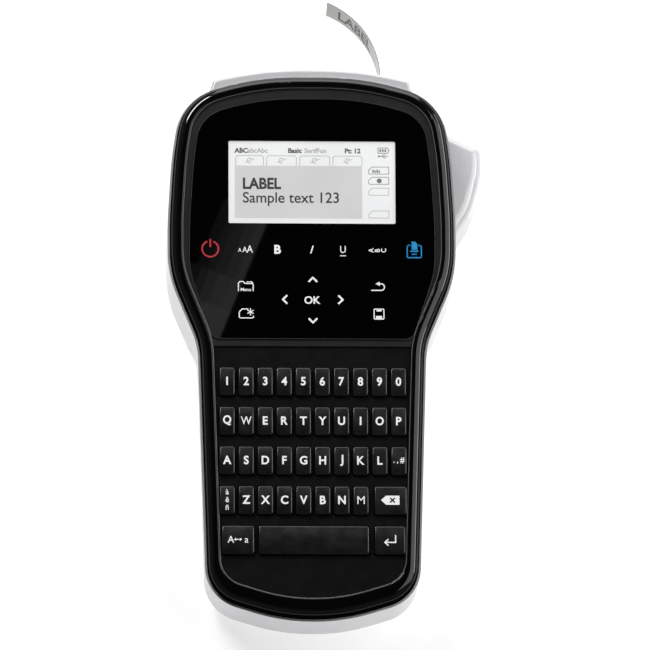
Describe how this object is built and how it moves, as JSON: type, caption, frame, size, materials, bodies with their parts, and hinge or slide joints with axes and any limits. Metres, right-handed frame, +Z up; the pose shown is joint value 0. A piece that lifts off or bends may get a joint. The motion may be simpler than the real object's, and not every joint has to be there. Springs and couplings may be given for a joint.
{
  "type": "label maker",
  "caption": "Handheld electronic label printer with a thumb keyboard, a display, a side cutter lever and a printed tape curling out of its head end.",
  "frame": {"origin": "on the flat back of the head, on the device's centre line, where it rests on a table", "axes": "+Y towards the head and its tape exit, +X to the right seen from the front, +Z up, away from the table on which the device lies on its back"},
  "size_m": [0.1161, 0.2496, 0.0561],
  "materials": {
    "shell_silver": "metallic silver paint on plastic, satin",
    "bezel_black": "polished",
    "deck_black": "fine matte texture",
    "panel_black": "high gloss film",
    "key_black": "satin",
    "display": "bright backlit display",
    "board_green": "solder mask",
    "mat_silicone": "soft silicone",
    "battery_wrap": "shrink wrap",
    "cassette_grey": "moulded",
    "tape_white": "laminated tape",
    "roller_rubber": "ground rubber",
    "pinion_brass": "machined",
    "motor_steel": "plated can",
    "head_aluminium": "sawn",
    "blade_steel": "ground"
  },
  "bodies": {
    "housing": {"rear_housing": "shell_silver", "front_bezel": "bezel_black", "keypad_frame": "deck_black", "display_panel": "panel_black", "lcd_module": "display", "main_board": "board_green", "keypad_mat": "mat_silicone", "battery_pack": "battery_wrap", "tape_cassette": "cassette_grey", "label_tape": "tape_white", "drive_motor": "motor_steel", "print_head": "head_aluminium"},
    "battery_door": {"battery_door": "shell_silver"},
    "cassette_door": {"cassette_door": "shell_silver"},
    "cutter_lever": {"cutter_lever": "shell_silver"},
    "cutter_blade": {"cutter_blade": "blade_steel"},
    "platen_roller": {"platen_roller": "roller_rubber"},
    "motor_pinion": {"motor_pinion": "pinion_brass"},
    "key_1": {"key_1": "key_black"},
    "key_2": {"key_2": "key_black"},
    "key_3": {"key_3": "key_black"},
    "key_4": {"key_4": "key_black"},
    "key_5": {"key_5": "key_black"},
    "key_6": {"key_6": "key_black"},
    "key_7": {"key_7": "key_black"},
    "key_8": {"key_8": "key_black"},
    "key_9": {"key_9": "key_black"},
    "key_0": {"key_0": "key_black"},
    "key_q": {"key_q": "key_black"},
    "key_w": {"key_w": "key_black"},
    "key_e": {"key_e": "key_black"},
    "key_r": {"key_r": "key_black"},
    "key_t": {"key_t": "key_black"},
    "key_y": {"key_y": "key_black"},
    "key_u": {"key_u": "key_black"},
    "key_i": {"key_i": "key_black"},
    "key_o": {"key_o": "key_black"},
    "key_p": {"key_p": "key_black"},
    "key_a": {"key_a": "key_black"},
    "key_s": {"key_s": "key_black"},
    "key_d": {"key_d": "key_black"},
    "key_f": {"key_f": "key_black"},
    "key_g": {"key_g": "key_black"},
    "key_h": {"key_h": "key_black"},
    "key_j": {"key_j": "key_black"},
    "key_k": {"key_k": "key_black"},
    "key_l": {"key_l": "key_black"},
    "key_symbols": {"key_symbols": "key_black"},
    "key_accent": {"key_accent": "key_black"},
    "key_z": {"key_z": "key_black"},
    "key_x": {"key_x": "key_black"},
    "key_c": {"key_c": "key_black"},
    "key_v": {"key_v": "key_black"},
    "key_b": {"key_b": "key_black"},
    "key_n": {"key_n": "key_black"},
    "key_m": {"key_m": "key_black"},
    "key_backspace": {"key_backspace": "key_black"},
    "key_shift": {"key_shift": "key_black"},
    "key_space": {"key_space": "key_black"},
    "key_return": {"key_return": "key_black"}
  },
  "joints": [
    {"name": "battery_door_lift", "type": "slide", "parent": "housing", "child": "battery_door", "axis": [0, 0.1132, -0.9936], "range_m": [0, 0.008]},
    {"name": "cassette_door_hinge", "type": "hinge", "parent": "housing", "child": "cassette_door", "pos_m": [0, 0.01, 0.0024], "axis": [-1, 0, 0], "range_deg": [0, 85]},
    {"name": "cutter_lever_pivot", "type": "hinge", "parent": "housing", "child": "cutter_lever", "pos_m": [0.0485, 0.029, 0.029], "axis": [0, 0, 1], "range_deg": [0, 7], "stiffness_Nm_per_rad": 0.6, "springref_deg": -8.59},
    {"name": "cutter_blade_slide", "type": "slide", "parent": "housing", "child": "cutter_blade", "axis": [-1, 0, 0], "range_m": [0, 0.0051]},
    {"name": "platen_roller_spin", "type": "hinge", "parent": "housing", "child": "platen_roller", "pos_m": [0.03125, 0.05, 0.013], "axis": [0, 0, 1], "continuous": true},
    {"name": "motor_pinion_spin", "type": "hinge", "parent": "housing", "child": "motor_pinion", "pos_m": [0.0206, 0.05, 0.028], "axis": [0, 0, 1], "continuous": true},
    {"name": "key_1_press", "type": "slide", "parent": "housing", "child": "key_1", "axis": [0, 0.1132, -0.9936], "range_m": [0, 0.0008], "stiffness_N_per_m": 300, "springref_m": -0.001},
    {"name": "key_2_press", "type": "slide", "parent": "housing", "child": "key_2", "axis": [0, 0.1132, -0.9936], "range_m": [0, 0.0008], "stiffness_N_per_m": 300, "springref_m": -0.001},
    {"name": "key_3_press", "type": "slide", "parent": "housing", "child": "key_3", "axis": [0, 0.1132, -0.9936], "range_m": [0, 0.0008], "stiffness_N_per_m": 300, "springref_m": -0.001},
    {"name": "key_4_press", "type": "slide", "parent": "housing", "child": "key_4", "axis": [0, 0.1132, -0.9936], "range_m": [0, 0.0008], "stiffness_N_per_m": 300, "springref_m": -0.001},
    {"name": "key_5_press", "type": "slide", "parent": "housing", "child": "key_5", "axis": [0, 0.1132, -0.9936], "range_m": [0, 0.0008], "stiffness_N_per_m": 300, "springref_m": -0.001},
    {"name": "key_6_press", "type": "slide", "parent": "housing", "child": "key_6", "axis": [0, 0.1132, -0.9936], "range_m": [0, 0.0008], "stiffness_N_per_m": 300, "springref_m": -0.001},
    {"name": "key_7_press", "type": "slide", "parent": "housing", "child": "key_7", "axis": [0, 0.1132, -0.9936], "range_m": [0, 0.0008], "stiffness_N_per_m": 300, "springref_m": -0.001},
    {"name": "key_8_press", "type": "slide", "parent": "housing", "child": "key_8", "axis": [0, 0.1132, -0.9936], "range_m": [0, 0.0008], "stiffness_N_per_m": 300, "springref_m": -0.001},
    {"name": "key_9_press", "type": "slide", "parent": "housing", "child": "key_9", "axis": [0, 0.1132, -0.9936], "range_m": [0, 0.0008], "stiffness_N_per_m": 300, "springref_m": -0.001},
    {"name": "key_0_press", "type": "slide", "parent": "housing", "child": "key_0", "axis": [0, 0.1132, -0.9936], "range_m": [0, 0.0008], "stiffness_N_per_m": 300, "springref_m": -0.001},
    {"name": "key_q_press", "type": "slide", "parent": "housing", "child": "key_q", "axis": [0, 0.1132, -0.9936], "range_m": [0, 0.0008], "stiffness_N_per_m": 300, "springref_m": -0.001},
    {"name": "key_w_press", "type": "slide", "parent": "housing", "child": "key_w", "axis": [0, 0.1132, -0.9936], "range_m": [0, 0.0008], "stiffness_N_per_m": 300, "springref_m": -0.001},
    {"name": "key_e_press", "type": "slide", "parent": "housing", "child": "key_e", "axis": [0, 0.1132, -0.9936], "range_m": [0, 0.0008], "stiffness_N_per_m": 300, "springref_m": -0.001},
    {"name": "key_r_press", "type": "slide", "parent": "housing", "child": "key_r", "axis": [0, 0.1132, -0.9936], "range_m": [0, 0.0008], "stiffness_N_per_m": 300, "springref_m": -0.001},
    {"name": "key_t_press", "type": "slide", "parent": "housing", "child": "key_t", "axis": [0, 0.1132, -0.9936], "range_m": [0, 0.0008], "stiffness_N_per_m": 300, "springref_m": -0.001},
    {"name": "key_y_press", "type": "slide", "parent": "housing", "child": "key_y", "axis": [0, 0.1132, -0.9936], "range_m": [0, 0.0008], "stiffness_N_per_m": 300, "springref_m": -0.001},
    {"name": "key_u_press", "type": "slide", "parent": "housing", "child": "key_u", "axis": [0, 0.1132, -0.9936], "range_m": [0, 0.0008], "stiffness_N_per_m": 300, "springref_m": -0.001},
    {"name": "key_i_press", "type": "slide", "parent": "housing", "child": "key_i", "axis": [0, 0.1132, -0.9936], "range_m": [0, 0.0008], "stiffness_N_per_m": 300, "springref_m": -0.001},
    {"name": "key_o_press", "type": "slide", "parent": "housing", "child": "key_o", "axis": [0, 0.1132, -0.9936], "range_m": [0, 0.0008], "stiffness_N_per_m": 300, "springref_m": -0.001},
    {"name": "key_p_press", "type": "slide", "parent": "housing", "child": "key_p", "axis": [0, 0.1132, -0.9936], "range_m": [0, 0.0008], "stiffness_N_per_m": 300, "springref_m": -0.001},
    {"name": "key_a_press", "type": "slide", "parent": "housing", "child": "key_a", "axis": [0, 0.1132, -0.9936], "range_m": [0, 0.0008], "stiffness_N_per_m": 300, "springref_m": -0.001},
    {"name": "key_s_press", "type": "slide", "parent": "housing", "child": "key_s", "axis": [0, 0.1132, -0.9936], "range_m": [0, 0.0008], "stiffness_N_per_m": 300, "springref_m": -0.001},
    {"name": "key_d_press", "type": "slide", "parent": "housing", "child": "key_d", "axis": [0, 0.1132, -0.9936], "range_m": [0, 0.0008], "stiffness_N_per_m": 300, "springref_m": -0.001},
    {"name": "key_f_press", "type": "slide", "parent": "housing", "child": "key_f", "axis": [0, 0.1132, -0.9936], "range_m": [0, 0.0008], "stiffness_N_per_m": 300, "springref_m": -0.001},
    {"name": "key_g_press", "type": "slide", "parent": "housing", "child": "key_g", "axis": [0, 0.1132, -0.9936], "range_m": [0, 0.0008], "stiffness_N_per_m": 300, "springref_m": -0.001},
    {"name": "key_h_press", "type": "slide", "parent": "housing", "child": "key_h", "axis": [0, 0.1132, -0.9936], "range_m": [0, 0.0008], "stiffness_N_per_m": 300, "springref_m": -0.001},
    {"name": "key_j_press", "type": "slide", "parent": "housing", "child": "key_j", "axis": [0, 0.1132, -0.9936], "range_m": [0, 0.0008], "stiffness_N_per_m": 300, "springref_m": -0.001},
    {"name": "key_k_press", "type": "slide", "parent": "housing", "child": "key_k", "axis": [0, 0.1132, -0.9936], "range_m": [0, 0.0008], "stiffness_N_per_m": 300, "springref_m": -0.001},
    {"name": "key_l_press", "type": "slide", "parent": "housing", "child": "key_l", "axis": [0, 0.1132, -0.9936], "range_m": [0, 0.0008], "stiffness_N_per_m": 300, "springref_m": -0.001},
    {"name": "key_symbols_press", "type": "slide", "parent": "housing", "child": "key_symbols", "axis": [0, 0.1132, -0.9936], "range_m": [0, 0.0008], "stiffness_N_per_m": 300, "springref_m": -0.001},
    {"name": "key_accent_press", "type": "slide", "parent": "housing", "child": "key_accent", "axis": [0, 0.1132, -0.9936], "range_m": [0, 0.0008], "stiffness_N_per_m": 300, "springref_m": -0.001},
    {"name": "key_z_press", "type": "slide", "parent": "housing", "child": "key_z", "axis": [0, 0.1132, -0.9936], "range_m": [0, 0.0008], "stiffness_N_per_m": 300, "springref_m": -0.001},
    {"name": "key_x_press", "type": "slide", "parent": "housing", "child": "key_x", "axis": [0, 0.1132, -0.9936], "range_m": [0, 0.0008], "stiffness_N_per_m": 300, "springref_m": -0.001},
    {"name": "key_c_press", "type": "slide", "parent": "housing", "child": "key_c", "axis": [0, 0.1132, -0.9936], "range_m": [0, 0.0008], "stiffness_N_per_m": 300, "springref_m": -0.001},
    {"name": "key_v_press", "type": "slide", "parent": "housing", "child": "key_v", "axis": [0, 0.1132, -0.9936], "range_m": [0, 0.0008], "stiffness_N_per_m": 300, "springref_m": -0.001},
    {"name": "key_b_press", "type": "slide", "parent": "housing", "child": "key_b", "axis": [0, 0.1132, -0.9936], "range_m": [0, 0.0008], "stiffness_N_per_m": 300, "springref_m": -0.001},
    {"name": "key_n_press", "type": "slide", "parent": "housing", "child": "key_n", "axis": [0, 0.1132, -0.9936], "range_m": [0, 0.0008], "stiffness_N_per_m": 300, "springref_m": -0.001},
    {"name": "key_m_press", "type": "slide", "parent": "housing", "child": "key_m", "axis": [0, 0.1132, -0.9936], "range_m": [0, 0.0008], "stiffness_N_per_m": 300, "springref_m": -0.001},
    {"name": "key_backspace_press", "type": "slide", "parent": "housing", "child": "key_backspace", "axis": [0, 0.1132, -0.9936], "range_m": [0, 0.0008], "stiffness_N_per_m": 300, "springref_m": -0.001},
    {"name": "key_shift_press", "type": "slide", "parent": "housing", "child": "key_shift", "axis": [0, 0.1132, -0.9936], "range_m": [0, 0.0008], "stiffness_N_per_m": 300, "springref_m": -0.001},
    {"name": "key_space_press", "type": "slide", "parent": "housing", "child": "key_space", "axis": [0, 0.1132, -0.9936], "range_m": [0, 0.0008], "stiffness_N_per_m": 300, "springref_m": -0.001},
    {"name": "key_return_press", "type": "slide", "parent": "housing", "child": "key_return", "axis": [0, 0.1132, -0.9936], "range_m": [0, 0.0008], "stiffness_N_per_m": 300, "springref_m": -0.001}
  ],
  "couplings": [
    {"joint": "cutter_blade_slide", "follows": "cutter_lever_pivot", "m_per_rad": 0.04093},
    {"joint": "motor_pinion_spin", "follows": "platen_roller_spin", "ratio": -2.5}
  ]
}
